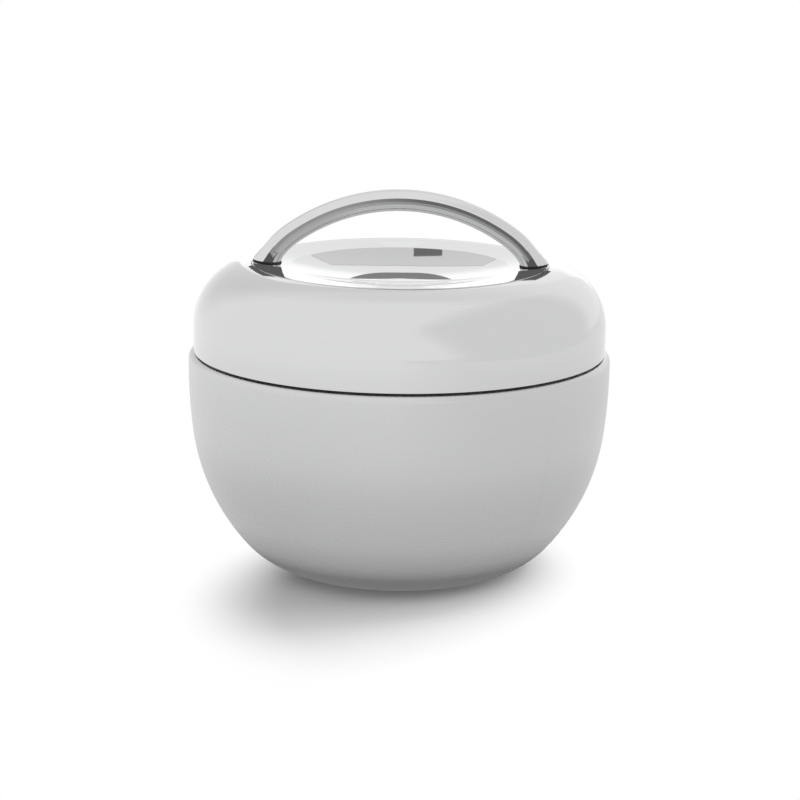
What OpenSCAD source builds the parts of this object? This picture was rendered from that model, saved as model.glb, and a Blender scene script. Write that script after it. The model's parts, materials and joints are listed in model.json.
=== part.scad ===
// Insulated stainless food bowl with a twist-lock lid and an arched carrying handle.
// Millimetres, +Z up, origin at the middle of the base on the surface it stands on.

/* [Outer shell] */
// Largest radius of the bowl
bowl_r = 80; // [74:1:92]
// Height of the bowl's top lip, where the lid begins
seam_z = 83.3; // [76:0.1:96]
// How far the widest circle lies below the lip
wide_drop = 5.7; // [4:0.1:8]
// Radius of the rolled shoulder under the lid
lip_r = 2.5; // [1.5:0.1:4]
// Width of the flat land between that shoulder and the weld to the inner bowl
weld_w = 0.5; // [0.3:0.1:1]
// Radius of the nearly straight upper side, as a share of the widest circle's height
side_share = 2.56; // [2:0.02:2.9]
// Turn of the upper side, in degrees
side_angle = 7; // [4:0.5:9]
// Radius of the belly below it, as a share of the same height
belly_share = 1.025; // [0.85:0.005:1.1]
// Turn of the belly, in degrees
belly_angle = 33.6; // [28:0.2:38]
// Thickness of the drawn steel
steel_t = 0.6; // [0.4:0.1:0.9]
// Inside radius of the sheet's tight bends
sheet_bend_r = 0.8; // [0.4:0.1:0.9]

/* [Base] */
// Width of the flat ring that the bowl stands on
foot_ring_w = 5; // [4:0.5:8]
// Height of the recess in the base
recess_h = 3; // [2.5:0.1:4]
// Depth of the base cover above the standing surface
cover_z = 0.8; // [0.6:0.1:1.2]
// Radius of the hole that the air is drawn out through
vent_r = 1.5; // [1:0.1:2]
// Radius of the bead that seals that hole
bead_r = 3; // [2.5:0.1:4]
// Height of the bead under the base disc
bead_h = 1; // [0.6:0.1:1.2]
// Radius of the getter's cup
getter_r = 5; // [3:0.5:6]
// Height of the getter's cup
getter_h = 1.4; // [1:0.1:2]
// Radius of the getter's pellet
pellet_r = 1.8; // [1:0.1:1.8]
// Gap between the getter and the foil over it
base_gap = 1.9; // [1:0.1:4]

/* [Inner bowl] */
// Depth of the sealing ledge below the bowl's lip
ledge_depth = 15.3; // [13:0.1:18]
// Width of the ledge that lies under the lid's plug
seal_seat_w = 2.2; // [1.8:0.1:3]
// Radius of the rounded bottom corner
corner_r = 44; // [38:1:50]
// Thickness of the reflecting foil
foil_t = 0.3; // [0.2:0.05:0.4]
// Gap between the foil and the wall that it wraps
foil_gap = 0.2; // [0.1:0.05:0.4]

/* [Twist lock] */
// Number of lugs on the ring and on the lid
lug_count = 4; // [3:1:4]
// Width of each lug round the mouth, in degrees
lug_angle = 40; // [30:1:40]
// How far the lugs stand out
lug_w = 3; // [2:0.1:3]
// Height of the lugs
lug_h = 3; // [2:0.1:3.5]
// Depth of the ring's lugs below its flange
lug_drop = 1; // [0.5:0.1:2]
// Wall of the neck ring
ring_t = 2.8; // [2.4:0.1:3]
// Thickness of the neck ring's flange
flange_t = 1.2; // [1:0.1:1.6]
// Width of each stop, in degrees
stop_angle = 3; // [2:0.5:3]
// Length of the ramp at the leading end of each lug
ramp_l = 5; // [3:0.5:8]
// Height of that ramp
ramp_h = 0.8; // [0.4:0.1:1.2]
// Bevel round the ring's mouth
mouth_bevel_w = 0.8; // [0.4:0.1:1]

/* [Lid shell] */
// How far the lid's upright wall stands in from the bowl's largest radius
lid_inset = 1.9; // [1.7:0.1:2.1]
// Height from the bowl's lip to the rim round the lid's top
lid_h = 33.8; // [28:0.1:40]
// Gap that shows between bowl and lid
seam_gap = 0.7; // [0.5:0.1:0.9]
// Radius of the lid's shoulder
shoulder_r = 23.4; // [21:0.1:26]
// Turn of the shoulder up to the rim round the lid's top, in degrees
shoulder_angle = 86.3; // [84:0.1:88]
// Width of the fold at the shell's lower edge
hem_w = 0.9; // [0.6:0.1:1]

/* [Top plate] */
// Width of the sloping ledge between the rim and the dish
top_ledge_w = 14.8; // [12.4:0.1:18]
// Fall of the ledge from the rim to the dish
ledge_drop = 1.4; // [0.8:0.1:2]
// Depth of the dish under its edge
dish_h = 4.5; // [3:0.1:7]
// How far the shell's seat under the plate stops short of the dish
seat_inset = 2.5; // [1.5:0.1:4]
// Inside radius of the bend between ledge and dish
plate_bend_r = 6; // [3:1:10]

/* [Lid core] */
// Wall of the plastic plug
plug_t = 3; // [2:0.1:3.5]
// Thickness of the plug's floor
plug_floor_t = 3; // [2:0.1:3.5]
// Thickness of the core's flange
core_flange_t = 2.5; // [2:0.1:3]
// Height of the foam disc
foam_h = 14; // [8:1:15]
// Height of the seal's body
seal_h = 2.6; // [2.2:0.1:3]
// Width of the seal's lip on the ledge
seal_lip_w = 1.6; // [1.2:0.1:1.8]
// Height of the lip below the seal's body
seal_lip_h = 1.4; // [1:0.1:1.8]
// How far the liner's edge reaches out under the seal
liner_hold = 1.2; // [1:0.1:1.6]
// How far the liner reaches below the sealing ledge
liner_drop = 2.6; // [1.5:0.1:4]
// Outside radius of the liner's corner
liner_corner_r = 1.6; // [1.2:0.1:2]

/* [Handle] */
// Diameter of the handle's tube
tube_d = 8.2; // [7:0.1:9]
// Wall of the tube
tube_t = 1; // [0.8:0.1:1.2]
// Height of the handle's top above the lid's rim
handle_h = 27.6; // [24:0.1:34]
// How far the middle of each foot stands in from the rim
foot_inset = 5.8; // [5.2:0.1:7]
// Turn of the arch from its top to each foot bend, in degrees
arch_angle = 36; // [33:0.5:38]
// Radius of the bend above each foot
bend_r = 30; // [27:1:34]
// How far each foot flares out from the tube
flare_w = 1.2; // [0.6:0.1:1.6]
// Length of the flare along the tube
flare_l = 5.5; // [4:0.1:7]
// Thickness of the pads under the feet
pad_t = 0.5; // [0.4:0.1:0.8]
// How far the pads stand out from the feet
pad_w = 0.2; // [0.1:0.1:0.5]
// Height of the threaded plug in each foot
end_plug_h = 7; // [6:0.5:9]

/* [Screws] */
// Radius of the handle's screws
screw_r = 1.5; // [1.2:0.1:1.6]
// Length of thread in the handle
thread_l = 4; // [3:0.1:4.5]
// How far the screws sit inside the middle of each foot
screw_inset = 1.2; // [0.8:0.1:1.4]
// Radius of the screw heads
head_r = 2.8; // [2.5:0.1:3]
// Height of the screw heads
head_h = 2; // [1.6:0.1:2.6]
// Radius of the spring washers
spring_washer_r = 2.6; // [2.4:0.1:3]
// Thickness of the spring washers
spring_washer_t = 0.7; // [0.5:0.1:0.9]
// Gap in each spring washer
washer_slit_w = 0.6; // [0.4:0.1:0.9]
// Radius of the backing washers
backing_r = 4.5; // [4:0.1:5]
// Thickness of the backing washers
backing_t = 1; // [0.8:0.1:1.4]

/* [Clearances] */
// Clearance between pieces that move on each other
run_gap = 0.3; // [0.3:0.05:0.4]
// Clearance of plastic pieces in the steel that holds them
fit_gap = 0.2; // [0.1:0.05:0.3]
// Radial clearance of the screws
screw_gap = 0.05; // [0.03:0.01:0.2]

/* [Hidden] */

$fn = 96;
// One overrun serves every cut
over = 1;
// Points along each arc
arc_steps = 14;
lip_steps = 6;
bend_steps = 4;

steel = "lightsteelblue";
polished = "aliceblue";
dark_plastic = "dimgray";
copper = "peru";
rubber = "darkslategray";

// Turned outline of the outer shell: three arcs, each tangent to the next
wide_z = seam_z - wide_drop;
side_r = wide_z * side_share;
belly_r = wide_z * belly_share;
low_angle = side_angle + belly_angle;
// The last arc is as large as lands the outline on the standing surface
toe_r = (wide_z - side_r * sin(side_angle) - belly_r * (sin(low_angle) - sin(side_angle)))
        / (1 - sin(low_angle));
toe_x = bowl_r - side_r * (1 - cos(side_angle)) - belly_r * (cos(side_angle) - cos(low_angle))
        - toe_r * cos(low_angle);
stand_r = toe_x - foot_ring_w;

// Heights and radii of the base
disc_wall_r = stand_r - 2 * steel_t;
disc_z = steel_t + recess_h;
getter_x = disc_wall_r / 2;
foil_z = disc_z + steel_t + getter_h + base_gap;
floor_z = foil_z + foil_t + foil_gap + steel_t;

// The lid turns by half the pitch of its lugs between open and locked
lock_angle = 180 / lug_count;

// Radii from the bowl's lip inwards: weld, neck, twist lock, plug, mouth
weld_r = bowl_r - lip_r - weld_w;
neck_r = weld_r - 2 * steel_t;
ring_r = neck_r - fit_gap;
ring_bore_r = ring_r - ring_t;
ring_lug_r = ring_bore_r - lug_w;
lid_lug_r = ring_bore_r - 2 * run_gap;
plug_r = ring_lug_r - 2 * run_gap;
mouth_r = plug_r - seal_seat_w;

// Heights from the bowl's lip downwards: ring, lugs, ledge
ring_top_z = seam_z + flange_t;
ring_lug_z = seam_z - lug_drop;
lid_lug_z = ring_lug_z - lug_h - run_gap;
ledge_z = seam_z - ledge_depth;

// Heights and radii of the lid's core and liner
lid_r = bowl_r - lid_inset;
core_z = ring_top_z + run_gap;
core_top_z = core_z + core_flange_t;
core_r = lid_r - steel_t - run_gap;
seal_z = ledge_z + run_gap;
groove_z = seal_z + seal_lip_h;
shoulder_z = groove_z + seal_h + run_gap;
liner_r = mouth_r - 2 * (fit_gap + run_gap);
groove_r = liner_r - liner_hold;
tongue_r = liner_r - steel_t;
liner_z = ledge_z - liner_drop;
well_r = groove_r - plug_t;
well_z = liner_z + steel_t + plug_floor_t;
step_z = shoulder_z + plug_t;

// Heights and radii of the lid's top
lid_z = seam_z + seam_gap;
rim_z = seam_z + lid_h;
shoulder_x = lid_r - shoulder_r;
rim_r = shoulder_x + shoulder_r * cos(shoulder_angle);
shoulder_base_z = rim_z - shoulder_r * sin(shoulder_angle);
dish_r = rim_r - top_ledge_w;
well_edge_r = rim_r - steel_t / 2;
plate_r = well_edge_r - run_gap;
dish_edge_z = rim_z - ledge_drop;
ledge_slope = ledge_drop / top_ledge_w;
dish_ball_r = (dish_r * dish_r + dish_h * dish_h) / (2 * dish_h);
seat_r = dish_r + seat_inset;

// The handle in its upright plane: the arch is as large as brings each bend down onto the middle of its
// foot, and bend_off, from the arch's centre to the bend's, is the lesser root of that condition
foot_x = rim_r - foot_inset;
foot_z = rim_z - ledge_drop / 2;
handle_fall = rim_z + handle_h - tube_d / 2 - foot_z;
arch_sag = 1 - cos(arch_angle);
foot_reach = foot_x * sin(arch_angle) - (bend_r - handle_fall) * arch_sag;
foot_square = foot_x * foot_x + (bend_r - handle_fall) * (bend_r - handle_fall) - bend_r * bend_r;
bend_off = (foot_reach - sqrt(foot_reach * foot_reach - 2 * arch_sag * foot_square)) / (2 * arch_sag);
arch_r = bend_off + bend_r;
arch_z = foot_z + handle_fall - arch_r;
bend_x = bend_off * sin(arch_angle);
bend_z = arch_z + bend_off * cos(arch_angle);
foot_angle = acos((foot_z - bend_z) / bend_r);
flare_r = tube_d / 2 + flare_w;
pad_r = flare_r + pad_w;
screw_x = foot_x - screw_inset;
backing_z = rim_z - (rim_r - screw_x + backing_r) * ledge_slope - 2 * steel_t - backing_t;

// Points on an arc about (x, z), from angle a to angle b
function arc(x, z, r, a, b, steps = arc_steps) =
    [for (i = [0 : steps]) let (t = a + (b - a) * i / steps) [x + r * cos(t), z + r * sin(t)]];

// The outer shell's turned outline at an inset, from the lip down to the toe
function shell_outline(inset) = concat(
    arc(bowl_r - lip_r, seam_z - lip_r, lip_r - inset, 90, 0, lip_steps),
    arc(bowl_r - side_r, wide_z, side_r - inset, 0, -side_angle, lip_steps),
    arc(bowl_r - side_r + (side_r - belly_r) * cos(side_angle),
        wide_z - (side_r - belly_r) * sin(side_angle), belly_r - inset, -side_angle, -low_angle),
    arc(toe_x, toe_r, toe_r - inset, -low_angle, -90));

// The inner bowl's turned outline below the ledge, at a distance outside its wall
function bowl_outline(out) = arc(mouth_r - corner_r, floor_z + corner_r, corner_r + out, 0, -90);

// The lid's turned shoulder at an inset, up to an angle near the rim
function lid_outline(inset, end) = arc(shoulder_x, shoulder_base_z, shoulder_r - inset, 0, end);

// Height of the top plate's ledge at a radius
function ledge_height(r) = dish_edge_z + (r - dish_r) * ledge_slope;

// Height of the dish's ball at a radius
function dish_height(r) = dish_edge_z - dish_h + dish_ball_r - sqrt(dish_ball_r * dish_ball_r - r * r);

// Points along the plate from its edge to the axis, at a depth below its face
function plate_outline(depth, bend_r) = concat(
    [[plate_r, ledge_height(plate_r) - depth], [dish_r, dish_edge_z - depth, bend_r]],
    [for (i = [1 : arc_steps]) let (r = dish_r * (1 - i / arc_steps)) [r, dish_height(r) - depth]]);

function reversed(points) = [for (i = [len(points) - 1 : -1 : 0]) points[i]];

// An outline with its bends made round. Its points are [x, z], or [x, z, radius] at a bend
function rounded(points) = [for (i = [0 : len(points) - 1])
    each (len(points[i]) == 2 ? [points[i]]
          : bend(points[(i + len(points) - 1) % len(points)], points[i], points[(i + 1) % len(points)]))];

// The arc that touches both sides of a corner
function bend(before, corner, after) = let (
    at = [corner[0], corner[1]],
    back = towards(at, before),
    on = towards(at, after),
    half = acos(back * on) / 2,
    centre = at + (back + on) / norm(back + on) * corner[2] / sin(half),
    first = at + back * corner[2] / tan(half) - centre,
    last = at + on * corner[2] / tan(half) - centre,
    start = atan2(first[1], first[0]),
    sweep = (atan2(last[1], last[0]) - start + 540) % 360 - 180)
    arc(centre[0], centre[1], corner[2], start, start + sweep, bend_steps);

function towards(at, point) = let (way = [point[0] - at[0], point[1] - at[1]]) way / norm(way);

module turned(points) { rotate_extrude() polygon(rounded(points)); }

// A copy at each end of the handle
module at_both_feet() { for (side = [0, 180]) rotate([0, 0, side]) children(); }

// A lug: part of a ring, with its middle at an angle
module lug(r_in, r_out, z, h, middle, angle) {
    rotate([0, 0, middle - angle / 2]) rotate_extrude(angle = angle)
        translate([r_in, z]) square([r_out - r_in, h]);
}

// What a lug's ramp takes away: it falls over the start of the lug's upper face or, turned over, rises
// under the end of its lower face
module ramp_cut(z, end, over_turn) {
    rotate([0, 0, end]) translate([0, 0, z]) rotate([over_turn, 0, 0]) translate([0, ramp_l, 0])
        rotate([atan(ramp_h / ramp_l), 0, 0]) translate([0, -2 * ramp_l, 0])
            cube([ring_r, 2 * ramp_l, lug_h]);
}

module outer_shell() {
    color(steel) turned(concat(
        [[weld_r, seam_z]], shell_outline(0), [[stand_r, 0], [stand_r, steel_t]],
        reversed(shell_outline(steel_t)), [[weld_r, seam_z - steel_t]]));
}

// Welded over the opening in the shell's bottom, with the hole that the air is drawn out through
module base_disc() {
    color(steel) turned([
        [toe_x, steel_t], [toe_x, 2 * steel_t], [disc_wall_r + steel_t, 2 * steel_t, sheet_bend_r],
        [disc_wall_r + steel_t, disc_z + steel_t, sheet_bend_r + steel_t], [vent_r, disc_z + steel_t],
        [vent_r, disc_z], [disc_wall_r, disc_z, sheet_bend_r],
        [disc_wall_r, steel_t, sheet_bend_r + steel_t]]);
}

// A drop that closes the hole: a low dome under the disc, and a stem in the hole
module vacuum_bead() {
    dome_r = (bead_r * bead_r + bead_h * bead_h) / (2 * bead_h);
    color("goldenrod") turned(concat(
        arc(0, disc_z - bead_h + dome_r, dome_r, -90, asin(bead_r / dome_r) - 90, lip_steps),
        [[vent_r, disc_z], [vent_r, disc_z + steel_t], [0, disc_z + steel_t]]));
}

// Pressed into the recess, with its edge short of the bend above it
module base_cover() {
    edge_z = disc_z - sheet_bend_r;
    color(steel) turned([
        [0, cover_z], [disc_wall_r, cover_z, sheet_bend_r + steel_t], [disc_wall_r, edge_z],
        [disc_wall_r - steel_t, edge_z], [disc_wall_r - steel_t, cover_z + steel_t, sheet_bend_r],
        [0, cover_z + steel_t]]);
}

// A small open cup with its pellet
module getter() {
    color("gray") translate([getter_x, 0, disc_z + steel_t]) turned([
        [0, 0], [getter_r, 0], [getter_r, getter_h], [getter_r - steel_t, getter_h],
        [getter_r - steel_t, getter_h / 2], [pellet_r, getter_h / 2], [pellet_r, getter_h], [0, getter_h]]);
}

module inner_bowl() {
    color(steel) turned(concat(
        [[weld_r, seam_z], [neck_r, seam_z], [neck_r, ledge_z, sheet_bend_r],
         [mouth_r, ledge_z, sheet_bend_r + steel_t]],
        bowl_outline(0), [[0, floor_z], [0, floor_z - steel_t]], reversed(bowl_outline(steel_t)),
        [[mouth_r + steel_t, ledge_z - steel_t, sheet_bend_r],
         [neck_r + steel_t, ledge_z - steel_t, sheet_bend_r + steel_t],
         [neck_r + steel_t, seam_z - steel_t], [weld_r, seam_z - steel_t]]));
}

// Wraps the inner bowl inside the vacuum, up to the bend under its ledge
module heat_foil() {
    near = steel_t + foil_gap;
    far = near + foil_t;
    top_z = ledge_z - near - sheet_bend_r;
    color(copper) turned(concat(
        [[mouth_r + near, top_z]], bowl_outline(near), [[0, floor_z - near], [0, floor_z - far]],
        reversed(bowl_outline(far)), [[mouth_r + far, top_z]]));
}

// Snapped into the neck, with the lugs and stops of the twist lock
module neck_ring() {
    half = lug_angle / 2;
    stop_mid = half + (lock_angle - lug_angle) / 2;
    color(dark_plastic) union() {
        turned([
            [ring_bore_r, ledge_z], [ring_r, ledge_z, sheet_bend_r + fit_gap], [ring_r, seam_z],
            [neck_r + steel_t / 2, seam_z], [neck_r + steel_t / 2, ring_top_z],
            [ring_bore_r + mouth_bevel_w, ring_top_z], [ring_bore_r, ring_top_z - mouth_bevel_w]]);
        for (i = [0 : lug_count - 1]) {
            middle = i * 360 / lug_count;
            difference() {
                lug(ring_lug_r, ring_bore_r + over, ring_lug_z - lug_h, lug_h, middle, lug_angle);
                ramp_cut(ring_lug_z - lug_h, middle + half, 180);
            }
            lug(ring_lug_r, ring_bore_r + over, lid_lug_z - lug_h, 2 * lug_h + run_gap, middle - stop_mid,
                stop_angle);
        }
    }
}

// Rides in the core's groove, and its lip lies on the ledge in the bowl's mouth. It is no wider than the
// plug, so that it lifts out past the ring's lugs
module lid_seal() {
    inner = groove_r + run_gap;
    lip_r = plug_r - seal_lip_w;
    color(rubber) turned([
        [inner, groove_z], [lip_r, groove_z], [lip_r, seal_z], [plug_r, seal_z],
        [plug_r, seal_z + seal_lip_h / 2], [plug_r - run_gap, groove_z],
        [plug_r - run_gap, groove_z + seal_h], [inner, groove_z + seal_h]]);
}

// Plastic plug and flange of the lid, with the lugs that turn under the ring's lugs
module lid_core() {
    plug_in_r = plug_r - plug_t;
    color(dark_plastic) union() {
        turned([
            [0, liner_z + steel_t], [tongue_r, liner_z + steel_t, liner_corner_r - steel_t],
            [tongue_r, groove_z - run_gap], [groove_r, groove_z - run_gap], [groove_r, shoulder_z],
            [plug_r, shoulder_z], [plug_r, core_z], [core_r, core_z], [core_r, core_top_z],
            [plug_in_r, core_top_z], [plug_in_r, step_z], [well_r, step_z], [well_r, well_z], [0, well_z]]);
        for (i = [0 : lug_count - 1]) {
            middle = lock_angle + i * 360 / lug_count;
            difference() {
                lug(plug_r - over, lid_lug_r, lid_lug_z - lug_h, lug_h, middle, lug_angle);
                ramp_cut(lid_lug_z, middle - lug_angle / 2, 0);
            }
        }
    }
}

// Fills the core's cup
module lid_foam() {
    wide_r = plug_r - plug_t - fit_gap;
    top_z = well_z + foam_h;
    color("ivory") turned([
        [0, well_z], [well_r - fit_gap, well_z], [well_r - fit_gap, step_z], [wide_r, step_z],
        [wide_r, top_z], [0, top_z]]);
}

// Steel pan that faces the food and keeps the seal in its groove
module lid_liner() {
    color(steel) turned([
        [0, liner_z], [liner_r, liner_z, liner_corner_r], [liner_r, groove_z - run_gap],
        [tongue_r, groove_z - run_gap], [tongue_r, liner_z + steel_t, liner_corner_r - steel_t],
        [0, liner_z + steel_t]]);
}

module screw_holes() {
    at_both_feet() translate([screw_x, 0, seam_z]) cylinder(r = screw_r + screw_gap, h = lid_h + over);
}

// Drawn cover, folded in at its lower edge and set down at its rim to seat the top plate
module lid_shell() {
    drop_r = well_edge_r + steel_t;
    inner_end = acos((drop_r - shoulder_x) / (shoulder_r - steel_t));
    hem_r = lid_r - steel_t - hem_w;
    color(steel) difference() {
        turned(concat(
            [[hem_r, lid_z], [lid_r, lid_z, steel_t]], lid_outline(0, shoulder_angle),
            [[well_edge_r, rim_z, steel_t / 3], [well_edge_r, ledge_height(well_edge_r) - steel_t],
             [seat_r, ledge_height(seat_r) - steel_t], [seat_r, ledge_height(seat_r) - 2 * steel_t],
             [drop_r, ledge_height(drop_r) - 2 * steel_t]],
            reversed(lid_outline(steel_t, inner_end)),
            [[lid_r - steel_t, lid_z + steel_t], [hem_r, lid_z + steel_t]]));
        screw_holes();
    }
}

// Mirror-polished plate with a sloping ledge round a shallow dish
module top_plate() {
    color(polished) difference() {
        turned(concat(
            plate_outline(0, plate_bend_r + steel_t), reversed(plate_outline(steel_t, plate_bend_r))));
        screw_holes();
    }
}

// All that lies over the ledge, at a height above it, within the rim
module over_ledge(above) {
    turned([
        [0, ledge_height(0) + above], [plate_r, ledge_height(plate_r) + above],
        [plate_r, rim_z + handle_h + over], [0, rim_z + handle_h + over]]);
}

// A round bar bent as the handle is, in two halves that meet at the top. Arch and bend are turned in one
// frame, whose origin is the middle of the tube where they meet, so that their ends match exactly
module bent_bar(r) {
    past_top = over / arch_r * 180 / PI;
    past_foot = tube_d / bend_r * 180 / PI;
    at_both_feet() intersection() {
        rotate([90, 0, 0]) translate([arch_r * sin(arch_angle), arch_z + arch_r * cos(arch_angle)])
            rotate([0, 0, 90 - arch_angle]) {
                bar_arc(arch_r, arch_angle + past_top, r);
                mirror([0, 1]) bar_arc(bend_r, foot_angle + past_foot - arch_angle, r);
            }
        translate([0, -tube_d, seam_z]) cube([bowl_r, 2 * tube_d, lid_h + handle_h + over]);
    }
}

// A round bar bent to a radius, starting at the origin
module bar_arc(bend, angle, r) {
    translate([-bend, 0]) rotate_extrude(angle = angle) translate([bend, 0]) circle(r);
}

// Each foot widens towards the lid, along the end of its bend
module flares() {
    bend_rise = flare_l * flare_l / (2 * bend_r);
    at_both_feet() translate([foot_x, 0, foot_z]) rotate([0, foot_angle - 90, 0]) {
        cylinder(r1 = flare_r, r2 = tube_d / 2 - bend_rise, h = flare_l);
        translate([0, 0, -flare_r]) cylinder(r = flare_r, h = flare_r);
    }
}

module handle() {
    color(polished) difference() {
        intersection() {
            union() {
                bent_bar(tube_d / 2);
                flares();
            }
            over_ledge(pad_t);
        }
        bent_bar(tube_d / 2 - tube_t);
    }
}

// Fixed in the ends of the tube and threaded for the screws
module end_plugs() {
    color(steel) difference() {
        intersection() {
            bent_bar(tube_d / 2 - tube_t);
            over_ledge(pad_t);
            cylinder(r = plate_r, h = foot_z + end_plug_h);
        }
        at_both_feet() translate([screw_x, 0, seam_z])
            cylinder(r = screw_r + screw_gap, h = foot_z + thread_l + screw_gap - seam_z);
    }
}

// Thin dark pads between the feet and the plate
module foot_pads() {
    color(rubber) difference() {
        intersection() {
            at_both_feet() translate([foot_x, 0, seam_z]) cylinder(r = pad_r, h = lid_h + over);
            difference() {
                over_ledge(0);
                over_ledge(pad_t);
            }
        }
        screw_holes();
    }
}

// Their upper faces follow the sloping seat, so that the screws pull straight
module backing_washers() {
    color(steel) difference() {
        at_both_feet() translate([screw_x, 0, backing_z]) cylinder(r = backing_r, h = rim_z - backing_z);
        over_ledge(-2 * steel_t);
        at_both_feet() translate([screw_x, 0, backing_z - over])
            cylinder(r = screw_r + screw_gap, h = lid_h);
    }
}

module spring_washers() {
    bore_r = screw_r + 2 * screw_gap;
    color(steel) at_both_feet() translate([screw_x, 0, backing_z - spring_washer_t]) difference() {
        cylinder(r = spring_washer_r, h = spring_washer_t);
        translate([0, 0, -over]) cylinder(r = bore_r, h = spring_washer_t + 2 * over);
        translate([0, -washer_slit_w / 2, -over])
            cube([spring_washer_r + over, washer_slit_w, spring_washer_t + 2 * over]);
    }
}

module handle_screws() {
    head_z = backing_z - spring_washer_t - head_h;
    color("gray") at_both_feet() translate([screw_x, 0, head_z]) difference() {
        union() {
            cylinder(r = head_r, h = head_h);
            cylinder(r = screw_r, h = foot_z + thread_l - head_z);
        }
        translate([0, 0, -over]) cylinder(r = screw_r, h = over + head_h / 2, $fn = 6);
    }
}

outer_shell();
base_disc();
vacuum_bead();
base_cover();
getter();
inner_bowl();
heat_foil();
neck_ring();
lid_seal();
lid_core();
lid_foam();
lid_liner();
lid_shell();
top_plate();
handle();
end_plugs();
foot_pads();
handle_screws();
spring_washers();
backing_washers();
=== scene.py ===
# %% [markdown]
# # Insulated steel bowl with a domed lid
#
# The real bowl is two drawn steel walls with a vacuum between them, under a lid that is closed by a
# mirror-polished plate and carried by a bent tube. The CAD model is the frame of this scene: it says where
# every piece is and how it moves. This lesson gives each piece that shows its true surface, and then lights
# it as in a plain white studio.

# %% Load the frame
import json
import math

import bpy
from mathutils import Matrix, Vector

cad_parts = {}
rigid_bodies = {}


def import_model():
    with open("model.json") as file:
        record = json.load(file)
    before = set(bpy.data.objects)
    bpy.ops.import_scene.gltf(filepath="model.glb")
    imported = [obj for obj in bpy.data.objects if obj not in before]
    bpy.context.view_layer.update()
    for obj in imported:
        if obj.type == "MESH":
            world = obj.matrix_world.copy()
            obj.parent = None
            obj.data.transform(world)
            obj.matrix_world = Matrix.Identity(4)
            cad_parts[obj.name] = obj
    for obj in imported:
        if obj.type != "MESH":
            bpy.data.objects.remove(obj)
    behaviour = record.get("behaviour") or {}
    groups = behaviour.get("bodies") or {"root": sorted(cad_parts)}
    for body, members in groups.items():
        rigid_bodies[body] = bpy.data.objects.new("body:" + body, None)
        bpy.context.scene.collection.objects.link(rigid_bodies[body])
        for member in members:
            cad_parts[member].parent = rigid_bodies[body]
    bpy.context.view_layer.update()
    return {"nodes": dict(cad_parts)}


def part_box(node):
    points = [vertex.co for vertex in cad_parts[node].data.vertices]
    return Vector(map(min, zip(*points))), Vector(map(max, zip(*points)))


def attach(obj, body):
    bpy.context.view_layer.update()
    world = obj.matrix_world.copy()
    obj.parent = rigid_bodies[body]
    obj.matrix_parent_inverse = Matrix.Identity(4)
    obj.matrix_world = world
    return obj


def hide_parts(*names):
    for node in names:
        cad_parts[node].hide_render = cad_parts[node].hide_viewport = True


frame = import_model()

# %% [markdown]
# ## The camera
#
# The photograph was taken with a long lens, a little above the rim. The eye's place and the lens were
# worked out from the outline of the bowl, so the camera is a measured thing and not a matter of taste. It
# is written as a distance, a height and three turns, because those can be changed one at a time. Blender
# wants a matrix: its columns are the directions to the right, up and back.

# %% Set up the camera
mm = 0.001
eye_distance = 868.4 * mm
eye_height = 267.6 * mm
eye_side = math.radians(1.7)
look_right = math.radians(0.032)
look_down = math.radians(13.224)
tilt = math.radians(0.674)
photo_width = 800
focal_pixels = 2329.5

heading = eye_side - look_right
forward = Vector((-math.sin(heading) * math.cos(look_down), math.cos(heading) * math.cos(look_down),
                  -math.sin(look_down)))
level_right = Vector((math.cos(heading), math.sin(heading), 0))
level_up = level_right.cross(forward)
right = level_right * math.cos(tilt) + level_up * math.sin(tilt)
up = level_up * math.cos(tilt) - level_right * math.sin(tilt)
eye = Vector((eye_distance * math.sin(eye_side), -eye_distance * math.cos(eye_side), eye_height))

bpy.ops.object.camera_add()
camera = bpy.context.object
camera.name = "eye"
camera.data.sensor_width = 36
camera.data.lens = focal_pixels / photo_width * camera.data.sensor_width
camera.data.clip_start = 10 * mm
camera.matrix_world = Matrix.Translation(eye) @ Matrix((right, up, -forward)).transposed().to_4x4()
bpy.context.scene.camera = camera
print("lens", round(camera.data.lens, 1), "mm, eye at", [round(v, 3) for v in eye])

# %% [markdown]
# ## Sizes
#
# Radii and heights come from the frame, so that the skins fit the CAD pieces. The bends of the sheet can't
# be read from a box, so they are named here as a drawing would give them, in millimetres, in degrees, or as
# a share of the height up to the widest place.

# %% Read the sizes
sheet_t = 0.6 * mm

bowl_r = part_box("outer_shell")[1].x
seam_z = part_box("outer_shell")[1].z
wide_z = seam_z - 5.7 * mm
lip_r = 2.5 * mm
weld_w = 0.5 * mm
side_r = wide_z * 2.56
side_angle = 7
belly_r = wide_z * 1.025
low_angle = side_angle + 33.6
foot_ring_w = 5 * mm

lid_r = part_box("lid_shell")[1].x
lid_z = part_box("lid_shell")[0].z
rim_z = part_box("lid_shell")[1].z
shoulder_r = 23.4 * mm
shoulder_angle = 86.3
hem_w = 0.9 * mm

plate_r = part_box("top_plate")[1].x
ledge_drop = 1.4 * mm
ledge_w = 14.8 * mm
dish_h = 4.5 * mm
print("radii of bowl, lid and plate:", [round(radius / mm, 1) for radius in (bowl_r, lid_r, plate_r)], "mm")

# %% [markdown]
# ## Spinning sheet on a lathe
#
# Bowl, lid and plate are all turned about one axis, as they are when a press or a spinning lathe makes
# them. A stack of rings or a sculpted sphere would also give the shape, but one outline that is spun keeps
# the true section of the sheet, with its folds, and is easy to change. The outline is drawn as arcs, and
# small corners are softened, because no sheet has a perfectly sharp edge and a sharp one catches no light.

# %% Draw arcs and soften corners
def arc(x, z, radius, start, end, steps=24):
    """Points on an arc about (x, z), between two angles in degrees."""
    turns = [math.radians(start + (end - start) * step / steps) for step in range(steps + 1)]
    return [(x + radius * math.cos(turn), z + radius * math.sin(turn)) for turn in turns]


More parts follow.
